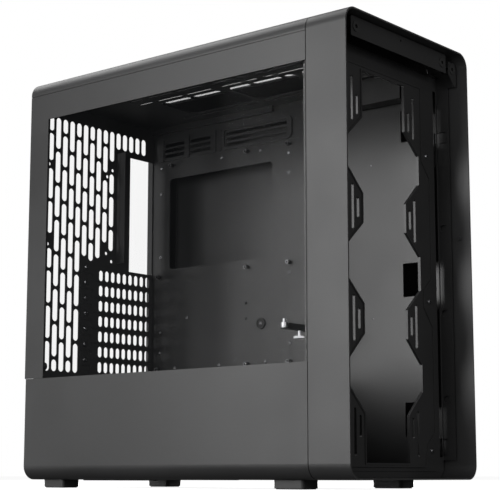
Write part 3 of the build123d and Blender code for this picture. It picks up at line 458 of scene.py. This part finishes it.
# %% [markdown]
# ### Pan-head screws
# A pan head is a flattened ball, half sunk in the sheet, with a cross cut into it. The CAD model
# knows where each screw stands, so the places come from its separate islands of mesh, and the
# head is copied to each of them, scaled to that island's own radius.


# %% Screw heads on the tray, the slot covers and the fan bracket
def islands(node):
    """Lowest and highest corner of every separate piece of a CAD part's mesh.

    An imported mesh may be split along its sharp edges, so an island inside another one's box
    belongs to it.
    """
    mesh = nodes[node].data
    parent = list(range(len(mesh.vertices)))

    def root(i):
        while parent[i] != i:
            parent[i] = parent[parent[i]]
            i = parent[i]
        return i

    for edge in mesh.edges:
        parent[root(edge.vertices[0])] = root(edge.vertices[1])
    groups = {}
    for vertex in mesh.vertices:
        key = tuple(round(v, 6) for v in vertex.co)
        groups.setdefault(root(vertex.index), []).append(key)
    boxes = []
    for group in groups.values():
        sides = list(zip(*group))
        boxes.append((Vector([min(side) for side in sides]), Vector([max(side) for side in sides])))
    whole = []
    for low, high in sorted(boxes, key=lambda b: -(b[1] - b[0]).length):
        middle = (low + high) / 2
        if not any(all(a <= m <= b for a, m, b in zip(l, middle, h)) for l, h in whole):
            whole.append((low, high))
    return whole


def screws(name, node, axis, height, body):
    """Pan heads whose tops face the negative way along an axis, 0 for X or 1 for Y."""
    points = bpy.data.meshes.new(name)
    places = []
    radii = []
    for low, high in islands(node):
        place = (low + high) / 2
        place[axis] = low[axis] + height
        places.append(place)
        radii.append((high.z - low.z) / 2)
    points.from_pydata(places, [], [])
    reach = points.attributes.new("reach", "FLOAT", "POINT")
    for item, radius in zip(reach.data, radii):
        item.value = radius
    turn = (0.0, -math.pi / 2, 0.0) if axis == 0 else (math.pi / 2, 0.0, 0.0)
    rule = Rule(name, Height=height / max(radii), Recess=0.95, Slit=0.26, Turn=turn)
    ball = rule.add("MeshUVSphere", Segments=20, Rings=10, Radius=1.0)
    head = rule.add("Transform", Geometry=ball, Scale=rule.vector(1.0, 1.0, rule.size("Height")))
    long = rule.size("Recess")
    thin = rule.size("Slit")
    deep = rule.size("Height")
    cuts = []
    for x, y in ((long, thin), (thin, long)):
        bar = rule.add("MeshCube", Size=rule.vector(x, y, deep))
        at_top = rule.vector(0.0, 0.0, deep)
        cuts.append(rule.add("Transform", Geometry=bar, Translation=at_top))
    cut = rule.add("MeshBoolean", {"operation": "DIFFERENCE"}, i0=head, i1=cuts)
    reach_of = rule.tree.nodes.new("GeometryNodeInputNamedAttribute")
    reach_of.data_type = "FLOAT"
    reach_of.inputs["Name"].default_value = "reach"
    heads = rule.add("InstanceOnPoints", Points=rule.given.outputs[0], Instance=cut,
                     Rotation=rule.size("Turn"), Scale=reach_of.outputs[0])
    made = rule.make(heads, black_screw, body, points)
    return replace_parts(made, node)


screws("tray_screw_heads", "tray_screws", 0, 1.4 * MM, "chassis")
screws("slot_screw_heads", "slot_cover_screws", 1, 2.0 * MM, "chassis")
screws("bracket_screw_heads", "fan_bracket_screws", 1, 2.0 * MM, "fan_bracket")

# %% [markdown]
# ### The knurled wheel of the card support
# The thumbscrew is a flat wheel with ridges round its rim, on a short stem. One ridge is a thin
# upright bar, copied round a circle.

# %% Thumbscrew
wheel_low, wheel_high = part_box("support_thumbscrew")
WHEEL_THICK = 2.8 * MM
rule = Rule("knurled_wheel", Ridges=36, Radius=(wheel_high.x - wheel_low.x) / 2, Thick=WHEEL_THICK,
            Ridge=0.9 * MM, Tall=wheel_high.z - wheel_low.z, Stem=1.8 * MM)
rim = rule.maths("SUBTRACT", rule.size("Radius"), rule.maths("MULTIPLY", rule.size("Ridge"), 0.5))
disc = rule.add("MeshCylinder", Vertices=48, Radius=rim, Depth=rule.size("Thick"))
ring = rule.add("MeshCircle", Vertices=rule.size("Ridges"), Radius=rim)
ridge = rule.add("MeshCylinder", Vertices=6, Radius=rule.maths("MULTIPLY", rule.size("Ridge"), 0.5),
                 Depth=rule.maths("MULTIPLY", rule.size("Thick"), 0.86))
ridges = rule.add("InstanceOnPoints", Points=ring, Instance=ridge)
stem = rule.add("MeshCylinder", Vertices=20, Radius=rule.size("Stem"), Depth=rule.size("Tall"))
lift = rule.maths("MULTIPLY", rule.maths("SUBTRACT", rule.size("Tall"), rule.size("Thick")), 0.5)
raised = rule.add("Transform", Geometry=stem, Translation=rule.vector(0.0, 0.0, lift))
middle = (wheel_low + wheel_high) / 2
together = rule.add("JoinGeometry", Geometry=[disc, ridges, raised])
placed = rule.add("Transform", Geometry=together,
                  Translation=(middle.x, middle.y, wheel_low.z + WHEEL_THICK / 2))
wheel = rule.make(placed, zinc, "support_thumbscrew")
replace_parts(wheel, "support_thumbscrew")

# %% [markdown]
# ### Coil springs under the buttons
# Each button stands on a coil of wire: a helix with a round section, even from end to end.


# %% Springs
WIRE = 0.22 * MM         # radius of the wire


def spring(name, node, turns):
    low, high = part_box(node)
    rule = Rule(name, Turns=turns, Radius=(high.x - low.x) / 2, Tall=high.z - low.z, Wire=WIRE)
    inside = rule.maths("SUBTRACT", rule.size("Radius"), rule.size("Wire"))
    tall = rule.maths("SUBTRACT", rule.size("Tall"), rule.maths("MULTIPLY", rule.size("Wire"), 2.0))
    coil = rule.add("CurveSpiral", Resolution=20, Rotations=rule.size("Turns"), Start_Radius=inside,
                    End_Radius=inside, Height=tall)
    section = rule.add("CurvePrimitiveCircle", Resolution=6, Radius=rule.size("Wire"))
    wire = rule.add("CurveToMesh", Curve=coil, Profile_Curve=section, Fill_Caps=True)
    foot = ((low.x + high.x) / 2, (low.y + high.y) / 2, low.z + WIRE)
    placed = rule.add("Transform", Geometry=wire, Translation=foot)
    made = rule.make(placed, spring_wire, "chassis")
    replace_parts(made, node)
    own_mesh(made)
    return made


spring("power_coil", "power_spring", 4.5)
spring("reset_coil", "reset_spring", 4.5)

# %% [markdown]
# ## The camera
# The case is seen from low down at its front left corner, from far enough away that its upright
# edges stay nearly parallel. The camera stands at the height of the feet and looks up a little.

# %% Camera
CAMERA_PLACE = Vector((-1.31584, -1.09759, 0.01503))
CAMERA_TURN = math.radians(50.51)     # from +Y towards +X
CAMERA_RISE = math.radians(9.09)
camera = bpy.data.objects.new("camera", bpy.data.cameras.new("camera"))
bpy.context.scene.collection.objects.link(camera)
bpy.context.scene.camera = camera
camera.data.lens = 101.43
camera.data.sensor_width = 36.0
camera.data.clip_start = 0.02
camera.data.clip_end = 60.0
ahead = Vector((math.sin(CAMERA_TURN) * math.cos(CAMERA_RISE),
                math.cos(CAMERA_TURN) * math.cos(CAMERA_RISE), math.sin(CAMERA_RISE)))
camera.location = CAMERA_PLACE
camera.rotation_mode = "QUATERNION"
camera.rotation_quaternion = ahead.to_track_quat("-Z", "Y")
print("camera at", [round(v, 3) for v in camera.location])

# %% [markdown]
# ## Floor and light
# A product like this is shown against pure white, but dark glossy steel only looks solid when
# most of what it mirrors is dark. So the surround is white to the camera and dim to everything
# else, and six soft boxes draw the form: one behind the left side that slides along the panels
# as a gradient, one low at the front left, one before the open front, one low behind that shines
# in through the rear slots, one above and behind for the rolled top edge, and one for the plain
# right side.
# The floor is pale and glows a little, and doesn't light the underside, which stays dark.

# %% Floor, world and lamps
SURROUND_DIM = 0.06
bpy.ops.mesh.primitive_plane_add(size=30.0, location=(0, 0, 0))
floor = bpy.context.object
floor.name = "studio_floor"
paper = Finish("white paper floor")
fibre = paper.noise(60.0, 3.0)
paper.set(Base_Color=paper.ramp(fibre, (0.3, [0.86] * 3), (0.7, [0.90] * 3)), Roughness=0.9)
paper.set(Emission_Color=paper.ramp(fibre, (0.3, [0.97] * 3), (0.7, [1.0] * 3)), Emission_Strength=0.9)
floor.data.materials.append(paper.material)
floor.visible_diffuse = False
floor.visible_glossy = False

world = bpy.data.worlds.new("studio surround")
world.use_nodes = True
tree = world.node_tree
seen = tree.nodes.new("ShaderNodeLightPath").outputs["Is Camera Ray"]
strength = tree.nodes.new("ShaderNodeMapRange")
tree.links.new(seen, strength.inputs["Value"])
strength.inputs["To Min"].default_value = SURROUND_DIM
background = tree.nodes["Background"]
background.inputs["Color"].default_value = (1, 1, 1, 1)
tree.links.new(strength.outputs["Result"], background.inputs["Strength"])
bpy.context.scene.world = world
bpy.context.scene.view_settings.view_transform = "Standard"


def soft_lamp(name, place, target, size, watts):
    lamp = bpy.data.lights.new(name, "AREA")
    lamp.shape = "RECTANGLE"
    lamp.size, lamp.size_y = size
    lamp.energy = watts
    made = bpy.data.objects.new(name, lamp)
    bpy.context.scene.collection.objects.link(made)
    made.location = place
    made.rotation_mode = "QUATERNION"
    made.rotation_quaternion = (Vector(target) - Vector(place)).to_track_quat("-Z", "Y")
    return made


soft_lamp("left rear box", (-1.5, 0.64, 0.5), (-0.1, -0.15, 0.3), (0.7, 1.2), 17.0)
soft_lamp("left front box", (-1.4, -0.45, 0.5), (0.0, -0.2, 0.3), (0.35, 0.7), 5.0)
soft_lamp("front box", (-0.5, -2.0, 0.6), (0.0, -0.25, 0.26), (0.8, 0.8), 11.0)
soft_lamp("rear box", (-0.1, 1.4, 0.12), (0.0, 0.0, 0.42), (1.0, 0.6), 9.0)
soft_lamp("right box", (1.6, 0.2, 0.8), (0.1, 0.0, 0.26), (1.2, 1.2), 20.0)
soft_lamp("top rear box", (-0.1, 1.2, 1.9), (0.0, 0.0, 0.5), (1.5, 1.0), 14.0)
